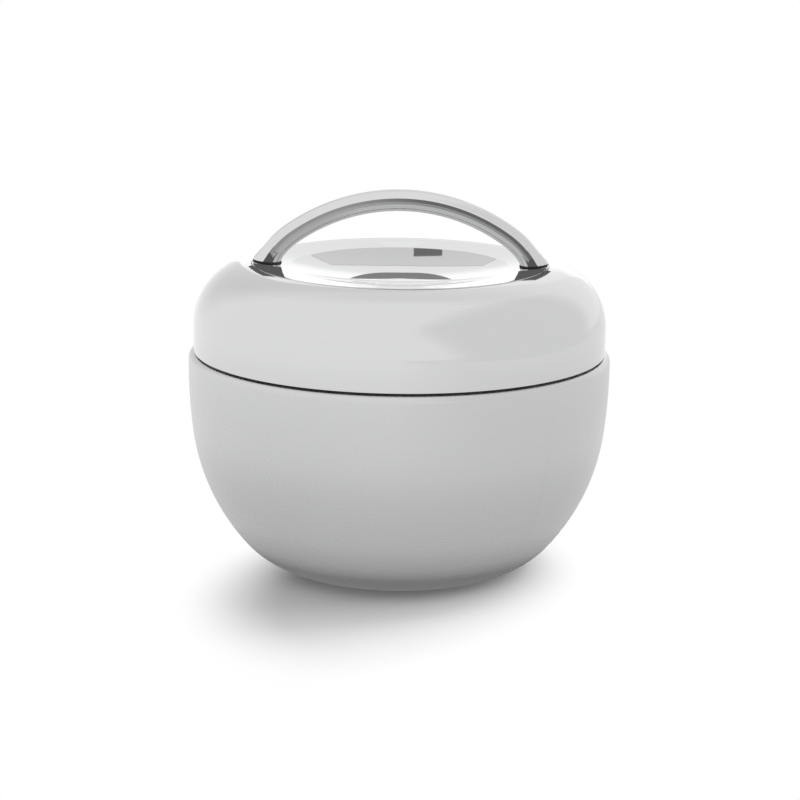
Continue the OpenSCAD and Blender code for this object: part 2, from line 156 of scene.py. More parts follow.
def curved(first, corner, last, steps):
    """Points on a curve that leaves one point towards a corner and reaches the other from there."""
    points = []
    for step in range(steps + 1):
        share = step / steps
        place = first * (1 - share) ** 2 + corner * (2 * share * (1 - share)) + last * share ** 2
        points.append((place.x, place.y))
    return points


def softened(outline, radius, steps=4, least_bend=20, most_reach=0.45):
    """The closed outline with its corners rounded, each over no more than a share of the edges beside it."""
    points = []
    for i, point in enumerate(outline):
        corner = Vector(point)
        back = Vector(outline[i - 1]) - corner
        on = Vector(outline[(i + 1) % len(outline)]) - corner
        bend = math.pi - back.angle(on)
        if bend < math.radians(least_bend) or corner.x == 0:
            points.append(point)
            continue
        reach = min(radius * math.tan(bend / 2), most_reach * back.length, most_reach * on.length)
        points += curved(corner + back.normalized() * reach, corner, corner + on.normalized() * reach, steps)
    return points


# %% Start fresh and close up
same_place = 0.001 * mm
real_edge = 30


def start_fresh():
    """Leaves edit mode and selects nothing."""
    if bpy.context.object and bpy.context.object.mode == "EDIT":
        bpy.ops.object.mode_set(mode="OBJECT")
    bpy.ops.object.select_all(action="DESELECT")


def close_up(piece, smooth_angle=real_edge):
    """Merges what lies on one place, turns the faces outwards and smooths all but the real edges."""
    bpy.ops.mesh.select_all(action="SELECT")
    bpy.ops.mesh.remove_doubles(threshold=same_place)
    bpy.ops.mesh.normals_make_consistent(inside=False)
    bpy.ops.object.mode_set(mode="OBJECT")
    bpy.ops.object.shade_smooth_by_angle(angle=math.radians(smooth_angle))
    print(piece.name, "has", len(piece.data.polygons), "faces")


# %% Spin an outline
outside_steps = 288
inside_steps = 192


def spun(name, outline, steps):
    """A piece spun from a closed outline of radii and heights, in a number of steps round the axis."""
    start_fresh()
    bpy.ops.mesh.primitive_plane_add(size=sheet_t)
    piece = bpy.context.object
    piece.name = name
    piece.data.name = name
    bpy.ops.object.mode_set(mode="EDIT")
    bpy.ops.mesh.merge(type="CENTER")
    bpy.ops.transform.translate(value=(outline[0][0], 0, outline[0][1]))
    ring = outline + outline[:1] if outline[0][0] > 0 else outline
    for (x, z), (next_x, next_z) in zip(ring, ring[1:]):
        bpy.ops.mesh.extrude_vertices_move(TRANSFORM_OT_translate={"value": (next_x - x, 0, next_z - z)})
    bpy.ops.mesh.select_all(action="SELECT")
    bpy.ops.mesh.spin(steps=steps, angle=2 * math.pi, center=(0, 0, 0), axis=(0, 0, 1))
    close_up(piece)
    return piece


# %% Say what a piece stands for
def stands_for(piece, body, slot, *nodes):
    """The piece rides on a body and is shown in place of CAD nodes. The slot is not used."""
    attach(piece, body)
    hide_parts(*nodes)


# %% [markdown]
# ## The outer shell
#
# The bowl's outside is one drawn sheet. Its side is three arcs that flow into each other: a nearly straight
# upper side, a round belly, and a tighter curve into the ring that it stands on. The last radius isn't
# free: it is the one that lands on the table with a level tangent. Any bump between the arcs would show at
# once in the reflection, so they are true arcs with common tangents and not a freehand curve.

# %% Spin the outer shell
def sine(angle):
    return math.sin(math.radians(angle))


def cosine(angle):
    return math.cos(math.radians(angle))


toe_r = ((wide_z - side_r * sine(side_angle) - belly_r * (sine(low_angle) - sine(side_angle)))
         / (1 - sine(low_angle)))
toe_x = (bowl_r - side_r * (1 - cosine(side_angle)) - belly_r * (cosine(side_angle) - cosine(low_angle))
         - toe_r * cosine(low_angle))
stand_r = toe_x - foot_ring_w
weld_r = bowl_r - lip_r - weld_w


def shell_side(inset):
    """The shell's side from its lip to the ring that it stands on, at a depth in the sheet."""
    side_x = bowl_r - side_r
    belly_x = side_x + (side_r - belly_r) * cosine(side_angle)
    belly_z = wide_z - (side_r - belly_r) * sine(side_angle)
    return (arc(bowl_r - lip_r, seam_z - lip_r, lip_r - inset, 90, 0, steps=12)
            + arc(side_x, wide_z, side_r - inset, 0, -side_angle, steps=10)[1:]
            + arc(belly_x, belly_z, belly_r - inset, -side_angle, -low_angle, steps=20)[1:]
            + arc(toe_x, toe_r, toe_r - inset, -low_angle, -90, steps=24)[1:])


shell_outline = ([(weld_r, seam_z)] + shell_side(0) + [(stand_r, 0), (stand_r, sheet_t)]
                 + shell_side(sheet_t)[::-1] + [(weld_r, seam_z - sheet_t)])
bowl_skin = spun("bowl_skin", softened(shell_outline, radius=0.2 * mm), outside_steps)
stands_for(bowl_skin, "bowl", "brushed_shell", "outer_shell")

# %% [markdown]
# ## The lid's shell
#
# The lid is a drawn cover with an upright wall and a large round shoulder. At its lower edge the sheet is
# folded in, which gives the clean lip over the dark seam. At its rim the sheet rolls over and down into a
# well that the top plate lies in, and the plate's edge shows there as a fine dark line. Both folds are part
# of the outline.

# %% Spin the lid's shell
shoulder_x = lid_r - shoulder_r
rim_r = shoulder_x + shoulder_r * cosine(shoulder_angle)
shoulder_z = rim_z - shoulder_r * sine(shoulder_angle)
dish_r = rim_r - ledge_w
slope = ledge_drop / ledge_w
well_r = rim_r - sheet_t / 2
seat_gap = 2.5 * mm
seat_r = dish_r + seat_gap
drop_r = well_r + sheet_t
inner_end = math.degrees(math.acos((drop_r - shoulder_x) / (shoulder_r - sheet_t)))


def ledge_z(radius):
    """Height of the plate's sloping ledge."""
    return rim_z - ledge_drop + (radius - dish_r) * slope


hem_r = lid_r - sheet_t - hem_w
roll_r = 0.5 * mm
lid_outline = ([(hem_r, lid_z), (lid_r, lid_z)]
               + arc(shoulder_x, shoulder_z, shoulder_r, 0, shoulder_angle - 1, steps=48)
               + arc(well_r + roll_r, rim_z - roll_r, roll_r, 90, 180, steps=6)
               + [(well_r, ledge_z(well_r) - sheet_t), (seat_r, ledge_z(seat_r) - sheet_t),
                  (seat_r, ledge_z(seat_r) - 2 * sheet_t), (drop_r, ledge_z(drop_r) - 2 * sheet_t)]
               + arc(shoulder_x, shoulder_z, shoulder_r - sheet_t, inner_end, 0, steps=48)
               + [(lid_r - sheet_t, lid_z + sheet_t), (hem_r, lid_z + sheet_t)])
lid_skin = spun("lid_skin", softened(lid_outline, radius=0.25 * mm), outside_steps)
stands_for(lid_skin, "lid", "brushed_shell", "lid_shell")

# %% [markdown]
# ## The top plate
#
# The plate is a mirror: a ledge that slopes inwards, then a shallow dish. The dish is part of a ball, and
# its radius follows from its width and depth. The bend between ledge and dish is a small round one, because
# a pressed plate can't have a crease, and a mirror shows the difference.

# %% Spin the top plate
dish_ball_r = (dish_r ** 2 + dish_h ** 2) / (2 * dish_h)
crease_r = 6 * mm
ledge_steps = 8


def plate_face(depth):
    """The plate's upper face from its edge to the axis, at a depth in the sheet."""
    ledge = [plate_r + (dish_r - plate_r) * step / ledge_steps for step in range(ledge_steps)]
    centre_z = rim_z - ledge_drop - dish_h + dish_ball_r - depth
    rim_turn = math.degrees(math.asin(dish_r / dish_ball_r))
    ball = arc(0, centre_z, dish_ball_r, rim_turn - 90, -90, steps=40)
    lowest = (0, centre_z - dish_ball_r)
    return [(radius, ledge_z(radius) - depth) for radius in ledge] + ball[:-1] + [lowest]


def rounded_bend(points, radius, at):
    """The points with the bend nearest to a place made round."""
    corner = min(range(len(points)), key=lambda i: abs(points[i][0] - at))
    start, middle, end = (Vector(points[corner + step]) for step in (-1, 0, 1))
    reach = radius * math.tan((middle - start).angle(end - middle) / 2)
    kept = [point for point in points if (Vector(point) - middle).length > 1.05 * reach]
    first = middle + (start - middle).normalized() * reach
    last = middle + (end - middle).normalized() * reach
    place = sum(point[0] > at for point in kept)
    return kept[:place] + curved(first, middle, last, steps=10) + kept[place:]


upper = rounded_bend(plate_face(0), crease_r, dish_r)
lower = rounded_bend(plate_face(sheet_t), crease_r, dish_r)
plate_skin = spun("plate_skin", softened(upper[::-1] + lower, radius=0.15 * mm), outside_steps)
stands_for(plate_skin, "lid", "polished_steel", "top_plate")

# %% [markdown]
# ## The handle
#
# The handle is one tube, bent to a wide arch and then tighter above each foot, where it is flared so that
# it stands firmly. A curve with a round section would be quicker, but its ends can't be flared or cut to
# the sloping ledge. So half of the tube is made as a bender makes it: a circle is spun about the centre of
# the arch and on about the centre of the bend. Then the foot is widened, cut to the slope and mirrored, and
# the tube gets its wall inwards.

# %% Work out the tube's bends
tube_r = 4.1 * mm
tube_wall = 1 * mm
pad_t = 0.5 * mm
bend_r = 30 * mm
arch_angle = 36
foot_x = rim_r - 5.8 * mm
foot_z = rim_z - ledge_drop / 2
handle_top = rim_z + 27.6 * mm
flare_w = 1.2 * mm
flare_l = 5.5 * mm

handle_fall = handle_top - tube_r - foot_z
arch_sag = 1 - cosine(arch_angle)
foot_reach = foot_x * sine(arch_angle) - (bend_r - handle_fall) * arch_sag
foot_square = foot_x ** 2 + (bend_r - handle_fall) ** 2 - bend_r ** 2
bend_off = (foot_reach - math.sqrt(foot_reach ** 2 - 2 * arch_sag * foot_square)) / (2 * arch_sag)
arch_r = bend_off + bend_r
arch_z = handle_top - tube_r - arch_r
bend_x = bend_off * sine(arch_angle)
bend_z = arch_z + bend_off * cosine(arch_angle)
foot_angle = math.degrees(math.acos((foot_z - bend_z) / bend_r))
print("arch", round(arch_r / mm, 2), "mm, foot", round(foot_x / mm, 2), "mm, turned", round(foot_angle, 1))

# %% Spin half of the tube
tube_sides = 72
bend_steps = 40
past_foot = 12
start_fresh()
bpy.ops.mesh.primitive_circle_add(vertices=tube_sides, radius=tube_r,
                                  location=(0, 0, handle_top - tube_r), rotation=(0, math.pi / 2, 0))
handle_skin = bpy.context.object
handle_skin.name = "handle_skin"
handle_skin.data.name = "handle_skin"
bpy.ops.object.transform_apply(location=True, rotation=True, scale=True)
bpy.ops.object.mode_set(mode="EDIT")
bpy.ops.mesh.select_all(action="SELECT")
bpy.ops.mesh.spin(steps=bend_steps, angle=math.radians(arch_angle), center=(0, 0, arch_z), axis=(0, -1, 0))
bpy.ops.mesh.spin(steps=bend_steps, angle=math.radians(foot_angle + past_foot - arch_angle),
                  center=(bend_x, 0, bend_z), axis=(0, -1, 0))
bpy.ops.object.mode_set(mode="OBJECT")
tube_reach = max(vertex.co.x for vertex in handle_skin.data.vertices)
print("half of the tube reaches", round(tube_reach / mm, 1), "mm out")

# %% [markdown]
# ### Flare, cut and mirror
#
# Each ring of points near the foot is scaled about its own middle. The scale follows a curve that starts
# gently, as a flared tube does, so there is no kink where the flare begins. The tube was bent a little past
# its foot, so that the cut, which follows the sloping ledge, meets it all round.

# %% Flare the foot
def select_where(piece, test):
    """Selects the points of a piece that pass a test, and leaves it in edit mode."""
    bpy.ops.object.mode_set(mode="OBJECT")
    for part in (*piece.data.polygons, *piece.data.edges):
        part.select = False
    for vertex in piece.data.vertices:
        vertex.select = test(vertex.co)
    bpy.ops.object.mode_set(mode="EDIT")
    bpy.ops.mesh.select_mode(type="VERT")


def bend_turn(point):
    """How far round its bend a point of the tube lies, in degrees from upright."""
    return math.degrees(math.atan2(point.x - bend_x, point.z - bend_z))


flare_turn = math.degrees(flare_l / bend_r)
flare_curve = 1.6
same_turn = 0.05
for step in range(bend_steps + 1):
    turn = arch_angle + (foot_angle + past_foot - arch_angle) * step / bend_steps
    share = min((turn - foot_angle + flare_turn) / flare_turn, 1)
    if share > 0:
        select_where(handle_skin,
                     lambda point: abs(bend_turn(point) - turn) < same_turn and point.x > bend_x)
        middle = (bend_x + bend_r * sine(turn), 0, bend_z + bend_r * cosine(turn))
        size = 1 + flare_w / tube_r * share ** flare_curve
        bpy.ops.transform.resize(value=(size, size, size), center_override=middle)
bpy.ops.object.mode_set(mode="OBJECT")
half_foot = max(vertex.co.y for vertex in handle_skin.data.vertices)
print("the foot is", round(2 * half_foot / mm, 1), "mm wide")

# %% Cut the foot, mirror the half and give it a wall
foot_plane = (foot_x, 0, ledge_z(foot_x) + pad_t)
bpy.ops.object.mode_set(mode="EDIT")
bpy.ops.mesh.select_all(action="SELECT")
bpy.ops.mesh.bisect(plane_co=foot_plane, plane_no=(slope, 0, -1), clear_outer=True)
bpy.ops.object.mode_set(mode="OBJECT")
mirror = handle_skin.modifiers.new("both sides", "MIRROR")
mirror.use_axis = (True, False, False)
mirror.merge_threshold = 0.01 * mm
bpy.ops.object.modifier_apply(modifier=mirror.name)
bpy.ops.object.mode_set(mode="EDIT")
close_up(handle_skin)
wall = handle_skin.modifiers.new("wall", "SOLIDIFY")
wall.thickness = tube_wall
wall.offset = -1
bpy.ops.object.modifier_apply(modifier=wall.name)
bpy.ops.object.shade_smooth_by_angle(angle=math.radians(real_edge))
stands_for(handle_skin, "lid", "polished_steel", "handle")

# %% [markdown]
# ## The inner bowl
#
# This is what holds the food. It shows when the lid is off: a wide mouth, the ledge that the lid's seal
# lies on, and the neck that is welded to the outer shell. It is spun like the outer shell.

# %% Spin the inner bowl
liner_gap = 1 * mm
neck_depth = 15.3 * mm
neck_r = weld_r - 2 * sheet_t
mouth_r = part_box("lid_liner")[1].x + liner_gap
ledge_height = seam_z - neck_depth
floor_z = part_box("inner_bowl")[0].z + sheet_t
corner_r = 44 * mm


def bowl_wall(out):
    """The wall and floor below the ledge, from the top down, at a distance outside the inner face."""
    return arc(mouth_r - corner_r, floor_z + corner_r, corner_r + out, 0, -90, steps=36)


inner_outline = ([(0, floor_z - sheet_t)] + bowl_wall(sheet_t)[::-1]
                 + [(mouth_r + sheet_t, ledge_height - sheet_t), (neck_r + sheet_t, ledge_height - sheet_t),
                    (neck_r + sheet_t, seam_z - sheet_t), (weld_r, seam_z - sheet_t), (weld_r, seam_z),
                    (neck_r, seam_z), (neck_r, ledge_height), (mouth_r, ledge_height)]
                 + bowl_wall(0) + [(0, floor_z)])
inner_skin = spun("inner_skin", softened(inner_outline, radius=0.5 * mm), inside_steps)
stands_for(inner_skin, "bowl", "inner_steel", "inner_bowl")

# %% [markdown]
# ## The liner
#
# The pan that faces the food is pressed from the same sheet. A press leaves a round corner between its
# floor and its wall, and that corner is what the light finds when the lid is lifted.

# %% Spin the liner
liner_low, liner_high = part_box("lid_liner")
liner_r = liner_high.x
liner_corner_r = 1.6 * mm
corner_x = liner_r - liner_corner_r
corner_z = liner_low.z + liner_corner_r
liner_outline = ([(0, liner_low.z)] + arc(corner_x, corner_z, liner_corner_r, -90, 0, steps=10)
                 + [(liner_r, liner_high.z), (liner_r - sheet_t, liner_high.z)]
                 + arc(corner_x, corner_z, liner_corner_r - sheet_t, 0, -90, steps=10)
                 + [(0, liner_low.z + sheet_t)])
liner_skin = spun("liner_skin", liner_outline, inside_steps)
stands_for(liner_skin, "lid", "inner_steel", "lid_liner")

# %% [markdown]
# ## The moulded pieces
#
# The neck ring, the lid's core, the seal and the foam disc are moulded. Their CAD solids have the right
# form but sharp edges, and a mould always leaves small radii. The quickest true way is to copy the CAD
# mesh, merge its loose triangles, dissolve the ones that lie flat, and bevel what is left of the edges.

# %% Soften copies of the moulded pieces
def moulded(node, body, slot, radius, flat_angle=1, edge_angle=40):
    """A copy of a CAD node with the small radii that a mould leaves on its edges."""
    start_fresh()
    source = frame["nodes"][node]
    source.select_set(True)
    bpy.context.view_layer.objects.active = source
    bpy.ops.object.duplicate(linked=False)
    piece = bpy.context.object
    bpy.ops.object.parent_clear(type="CLEAR_KEEP_TRANSFORM")
    piece.name = node + "_skin"
    piece.data.name = piece.name
    bpy.ops.object.mode_set(mode="EDIT")
    bpy.ops.mesh.select_all(action="SELECT")
    bpy.ops.mesh.remove_doubles(threshold=same_place)
    bpy.ops.mesh.dissolve_limited(angle_limit=math.radians(flat_angle))
    bpy.ops.object.mode_set(mode="OBJECT")
    edge = piece.modifiers.new("mould radius", "BEVEL")
    edge.width = radius
    edge.segments = 2
    edge.limit_method = "ANGLE"
    edge.angle_limit = math.radians(edge_angle)
    bpy.ops.object.modifier_apply(modifier=edge.name)
    bpy.ops.object.mode_set(mode="EDIT")
    close_up(piece, smooth_angle=50)
    stands_for(piece, body, slot, node)
    return piece


ring_skin = moulded("neck_ring", "bowl", "dark_plastic", 0.3 * mm)
core_skin = moulded("lid_core", "lid", "dark_plastic", 0.3 * mm)
seal_skin = moulded("lid_seal", "seal", "silicone", 0.2 * mm)
foam_skin = moulded("lid_foam", "lid", "foam", 0.8 * mm)

# %% [markdown]
# ## Nodes
#
# A Blender material is a net of nodes. Made in code it soon gets long, and the same few moves come again
# and again: add a node, join two sockets, turn one range of numbers into another. Each move gets a helper
# of its own, so that the finishes below can be read as a maker would tell them.

# %% Add and join nodes
def add_node(material, kind, operation=None):
    """A new node in a material or in the world, and the sum that it does where its kind has several."""
    node = material.node_tree.nodes.new("ShaderNode" + kind)
    if operation:
        node.operation = operation
    return node


def link(material, source, target):
    """Joins an output of one node to an input of another."""
    material.node_tree.links.new(source, target)


# %% Do sums with nodes
def combined(material, operation, first, second):
    """What a sum makes of two values."""
    node = add_node(material, "Math", operation)
    link(material, first, node.inputs[0])
    link(material, second, node.inputs[1])
    return node.outputs[0]


def ranged(material, value, start, end, low, high, smooth=False):
    """A value that goes from low to high while another goes from start to end, and no further."""
    node = add_node(material, "MapRange")
    if smooth:
        node.interpolation_type = "SMOOTHSTEP"
    for name, number in (("From Min", start), ("From Max", end), ("To Min", low), ("To Max", high)):
        node.inputs[name].default_value = number
    link(material, value, node.inputs["Value"])
    return node.outputs["Result"]


def ramp(material, value, marks):
    """A colour that follows a value. Each mark is a place on the ramp and a colour, the lowest first."""
    node = add_node(material, "ValToRGB")
    elements = node.color_ramp.elements
    while len(elements) < len(marks):
        elements.new(0.5)
    for element, (position, colour) in zip(elements, marks):
        element.position = position
        element.color = (*colour, 1)
    link(material, value, node.inputs["Fac"])
    return node.outputs["Color"]


# %% Read a place and mix two shaders
def object_place(material):
    """The place of the shaded point in the coordinates of its object."""
    return add_node(material, "TexCoord").outputs["Object"]


def place_along(material, axis):
    """The place of the shaded point along one axis of its object."""
    split = add_node(material, "SeparateXYZ")
    link(material, object_place(material), split.inputs[0])
    return split.outputs[axis]


def mixed(material, share, first, second):
    """Two shaders in one: the first where the share is 0 and the second where it is 1."""
    mix = add_node(material, "MixShader")
    link(material, share, mix.inputs["Fac"])
    link(material, first.outputs[0], mix.inputs[1])
    link(material, second.outputs[0], mix.inputs[2])
    return mix


# %% [markdown]
# ## A finish
#
# Every finish here is the same recipe with other numbers: a fine grain that changes the colour a little,
# makes the roughness uneven and lifts the surface by a very small height. On turned pieces the grain must
# run in rings, as the polishing wheel leaves it, so its pattern reads the distance from the axis and the
# height, and hardly the place round the axis. On moulded pieces it reads plain object coordinates.

# %% Let the grain run in rings
place_share = 0.01


def ring_place(material):
    """Coordinates that change with the radius and the height, and only a little round the axis."""
    flat = add_node(material, "VectorMath", "MULTIPLY")
    flat.inputs[1].default_value = (1, 1, 0)
    link(material, object_place(material), flat.inputs[0])
    radius = add_node(material, "VectorMath", "LENGTH")
    link(material, flat.outputs[0], radius.inputs[0])
    section = add_node(material, "CombineXYZ")
    link(material, radius.outputs["Value"], section.inputs["X"])
    link(material, place_along(material, "Z"), section.inputs["Z"])
    ringed = add_node(material, "VectorMath", "MULTIPLY_ADD")
    ringed.inputs[1].default_value = (place_share, place_share, place_share)
    link(material, object_place(material), ringed.inputs[0])
    link(material, section.outputs[0], ringed.inputs[2])
    return ringed.outputs[0]


# %% Write the recipe
grain_detail = 3
tone_from, tone_to = 0.35, 0.65
rough_from, rough_to = 0.3, 0.7


def finish(name, dark, light, grain, depth, roughness, metallic=0.0, turned=False, uneven=0.25):
    """A material whose colour, roughness and height follow one grain. Grain and depth are in metres."""
    material = bpy.data.materials.new(name)
    material.use_nodes = True
    shader = material.node_tree.nodes["Principled BSDF"]
    shader.inputs["Metallic"].default_value = metallic
    noise = add_node(material, "TexNoise")
    noise.inputs["Scale"].default_value = 1 / grain
    noise.inputs["Detail"].default_value = grain_detail
    place = ring_place(material) if turned else object_place(material)
    link(material, place, noise.inputs["Vector"])
    cloud = noise.outputs["Fac"]
    tone = ramp(material, cloud, [(tone_from, dark), (tone_to, light)])
    link(material, tone, shader.inputs["Base Color"])
    low, high = roughness * (1 - uneven), roughness * (1 + uneven)
    link(material, ranged(material, cloud, rough_from, rough_to, low, high), shader.inputs["Roughness"])
    bump = add_node(material, "Bump")
    bump.inputs["Distance"].default_value = depth
    link(material, cloud, bump.inputs["Height"])
    link(material, bump.outputs["Normal"], shader.inputs["Normal"])
    return material


# %% [markdown]
# ## The steels
#
# Polished stainless steel sends back about two thirds of the light that falls straight on it, and more at a
# slant. So the outside is a neutral grey between 0.63 and 0.71, and the white comes from what it reflects.
# The bowl is brushed on a wheel and keeps a haze, and the lid is polished further. The plate and the handle
# are buffed to a mirror. The inside is left as the lathe leaves it, and hardware is only tumbled.

# %% Mix the steels
# Painted shade: the bowl's steel is set a little darker than the lid's, though both are one steel, to darken
# its side.
bowl_satin_shaded = finish("bowl_satin_shaded", (0.635, 0.637, 0.64), (0.645, 0.647, 0.65), grain=0.3 * mm,
                    depth=0.0002 * mm, roughness=0.28, metallic=1, turned=True, uneven=0.08)
lid_satin = finish("lid_satin", (0.685, 0.687, 0.69), (0.695, 0.697, 0.7), grain=0.3 * mm,
                   depth=0.0001 * mm, roughness=0.09, metallic=1, turned=True, uneven=0.08)
plate_mirror = finish("plate_mirror", (0.63, 0.633, 0.637), (0.645, 0.647, 0.65), grain=0.5 * mm,
                      depth=0.0001 * mm, roughness=0.035, metallic=1, turned=True)
handle_mirror = finish("handle_mirror", (0.69, 0.692, 0.696), (0.71, 0.712, 0.714), grain=0.5 * mm,
                       depth=0.0001 * mm, roughness=0.05, metallic=1)
spun_inside = finish("spun_inside", (0.6, 0.605, 0.61), (0.68, 0.682, 0.685), grain=0.25 * mm,
                     depth=0.002 * mm, roughness=0.24, metallic=1, turned=True)
tumbled_steel = finish("tumbled_steel", (0.5, 0.505, 0.51), (0.62, 0.622, 0.625), grain=0.3 * mm,
                       depth=0.004 * mm, roughness=0.32, metallic=1)
copper = finish("copper", (0.78, 0.38, 0.25), (0.9, 0.52, 0.38), grain=1.5 * mm,
                depth=0.03 * mm, roughness=0.22, metallic=1)
print("steels and copper mixed")

# %% [markdown]
# ## Plastic, silicone, rubber, foam and glass
#
# The dark pieces are matt, because light that gets into the seam must die there. The silicone is milky and
# lets light in a little way, which subsurface scattering gives. All colours go equally far in, or a coarse
# render would speckle. The foam shows the cells that it is blown from.

# %% Mix the soft and moulded finishes
ring_plastic = finish("ring_plastic", (0.14, 0.142, 0.145), (0.17, 0.172, 0.175), grain=0.4 * mm,
                      depth=0.01 * mm, roughness=0.5)
pad_rubber = finish("pad_rubber", (0.02, 0.02, 0.02), (0.04, 0.04, 0.04), grain=0.25 * mm,
                    depth=0.02 * mm, roughness=0.75)
milky_silicone = finish("milky_silicone", (0.62, 0.63, 0.63), (0.7, 0.705, 0.7), grain=1.2 * mm,
                        depth=0.005 * mm, roughness=0.42)
silicone_shader = milky_silicone.node_tree.nodes["Principled BSDF"]
silicone_shader.inputs["Subsurface Weight"].default_value = 0.25
silicone_shader.inputs["Subsurface Scale"].default_value = 0.8 * mm
silicone_shader.inputs["Subsurface Radius"].default_value = (1, 1, 1)
white_foam = finish("white_foam", (0.74, 0.74, 0.72), (0.84, 0.84, 0.82), grain=1.4 * mm,
                    depth=0.12 * mm, roughness=0.85)
bead_glass = finish("bead_glass", (0.16, 0.1, 0.05), (0.24, 0.16, 0.08), grain=0.8 * mm,
                    depth=0.01 * mm, roughness=0.15)
print("in all", len(bpy.data.materials), "materials with those of the frame")

# %% [markdown]
# ## Dressing the pieces
#
# A new skin gets its material as its only one. A CAD node that stays gets it in each of the slots that it
# brought along, so that no plain colour is left anywhere.

# %% Put the finishes on
skin_finishes = {
    bowl_skin: bowl_satin_shaded, lid_skin: lid_satin, plate_skin: plate_mirror, handle_skin: handle_mirror,
    inner_skin: spun_inside, liner_skin: spun_inside, ring_skin: ring_plastic, core_skin: ring_plastic,
    seal_skin: milky_silicone, foam_skin: white_foam,
}
for skin, material in skin_finishes.items():
    skin.data.materials.clear()
    skin.data.materials.append(material)

node_finishes = {
    "base_disc": tumbled_steel, "base_cover": spun_inside, "vacuum_bead": bead_glass,
    "getter": tumbled_steel, "heat_foil": copper, "end_plugs": tumbled_steel, "foot_pads": pad_rubber,
    "handle_screws": tumbled_steel, "spring_washers": tumbled_steel, "backing_washers": tumbled_steel,
}
for node, material in node_finishes.items():
    for slot in frame["nodes"][node].material_slots:
        slot.material = material
print("finishes on", len(skin_finishes), "skins and", len(node_finishes), "nodes")

# %% [markdown]
# ## The floor
#
# The bowl stands on white card, and the card runs out into a white background. Near the bowl the card is an
# ordinary matt white that takes its shadow. Further out it glows plain white for the camera and for
# reflections, so that no edge of it shows. It adds no light to the bowl. The middle of the matt part lies
# in front and to the right, because the photograph keeps more of the shadow there.

# %% Lay the floor
matt_middle = (52 * mm, -52 * mm, 0)
matt_to = 90 * mm
white_from = 132 * mm


def seen(material):
    """A value that is 1 for rays that see the surface directly, in a reflection or through something."""
    rays = add_node(material, "LightPath").outputs
    plainly = combined(material, "MAXIMUM", rays["Is Camera Ray"], rays["Is Glossy Ray"])
    return combined(material, "MAXIMUM", plainly, rays["Is Transmission Ray"])


def shadow_card(material):
    """Matt white that takes the shadow, and glows plain white further out."""
    matt = material.node_tree.nodes["Principled BSDF"]
    matt.inputs["Base Color"].default_value = (0.94, 0.94, 0.94, 1)
    matt.inputs["Roughness"].default_value = 1
    matt.inputs["Specular IOR Level"].default_value = 0
    distance = add_node(material, "VectorMath", "DISTANCE")
    distance.inputs[1].default_value = matt_middle
    link(material, object_place(material), distance.inputs[0])
    outwards = ranged(material, distance.outputs["Value"], matt_to, white_from, 0, 1, smooth=True)
    share = combined(material, "MULTIPLY", outwards, seen(material))
    return mixed(material, share, matt, add_node(material, "Emission"))


bpy.ops.mesh.primitive_plane_add(size=6)
floor = bpy.context.object
floor.name = "floor"
card = bpy.data.materials.new("white_card")
card.use_nodes = True
laid_card = shadow_card(card)
print("matt for", round(matt_to / mm), "mm and plain white from", round(white_from / mm), "mm")

# %% [markdown]
# ### The painted shadow in the belly
#
# The belly is a mirror of the floor. In the photograph it falls evenly from white to a dark foot, the same
# all the way round, while a shadow that leans to one side would show as a smudge. So reflections see a
# painted shadow instead of the floor that the camera sees: rings of grey about the foot, dark near it and a
# little darker to the right. The greys were worked out from how bright the photographed belly is, and
# tuned until the render agreed. Each ring is named by its radius in millimetres and its grey.

# %% Paint the shadow that reflections see in the belly
# Painted shadow: the greys that reflections see in place of the floor, darkest by the foot.
painted_shadow_greys = [(55, 0.27), (62.6, 0.52), (77, 0.7), (109, 0.765),
              (208, 0.93), (314, 0.945), (430, 0.98), (500, 1)]
outermost = painted_shadow_greys[-1][0]
right_shade_end = 250 * mm
right_shade_level = 0.91


def painted_shadow_glow(material):
    """A painted shadow: a glow in rings about the axis, which gets a little weaker to the right."""
    radius = add_node(material, "VectorMath", "LENGTH")
    link(material, object_place(material), radius.inputs[0])
    outwards = add_node(material, "Math", "DIVIDE")
    outwards.inputs[1].default_value = outermost * mm
    link(material, radius.outputs["Value"], outwards.inputs[0])
    marks = [(ring / outermost, (grey, grey, grey)) for ring, grey in painted_shadow_greys]
    glow = add_node(material, "Emission")
    link(material, ramp(material, outwards.outputs[0], marks), glow.inputs["Color"])
    # Painted shade: the glow gets weaker to the right.
    strength = ranged(material, place_along(material, "X"), 0, right_shade_end, 1, right_shade_level)
    link(material, strength, glow.inputs["Strength"])
    return glow


by_reflection = add_node(card, "LightPath").outputs["Is Glossy Ray"]
whole_card = mixed(card, by_reflection, laid_card, painted_shadow_glow(card))
link(card, whole_card.outputs[0], card.node_tree.nodes["Material Output"].inputs["Surface"])
floor.data.materials.append(card)
print("floor laid, with", len(painted_shadow_greys), "rings of grey for reflections")

# %% [markdown]
# ## The light
#
# Steel has no look of its own: it shows the room. The room here is plain white, as in the photograph. The
# world gives an even light. Three soft lamps stand on the right, low, high and nearly overhead, all a
# little behind the bowl, so that the shadow stays close under it and leans to the front left. Their mix was
# fitted to the grey of the photographed shadow. No lamp is seen in the steel.

# %% Light the room
ambient = 0.5
world = bpy.data.worlds.new("white_room")
bpy.context.scene.world = world
world.use_nodes = True
room = world.node_tree.nodes["Background"]
room.inputs["Color"].default_value = (1, 1, 1, 1)
link(world, ranged(world, seen(world), 0, 1, ambient, 1), room.inputs["Strength"])


def lamp(name, place, size, power):
    """A soft square lamp that shines on the foot of the bowl and doesn't show in the steel."""
    start_fresh()
    bpy.ops.object.light_add(type="AREA", location=place)
    light = bpy.context.object
    light.name = name
    light.data.energy = power
    light.data.size = size
    light.rotation_euler = (-Vector(place)).to_track_quat("-Z", "Y").to_euler()
    light.visible_glossy = False
    return light


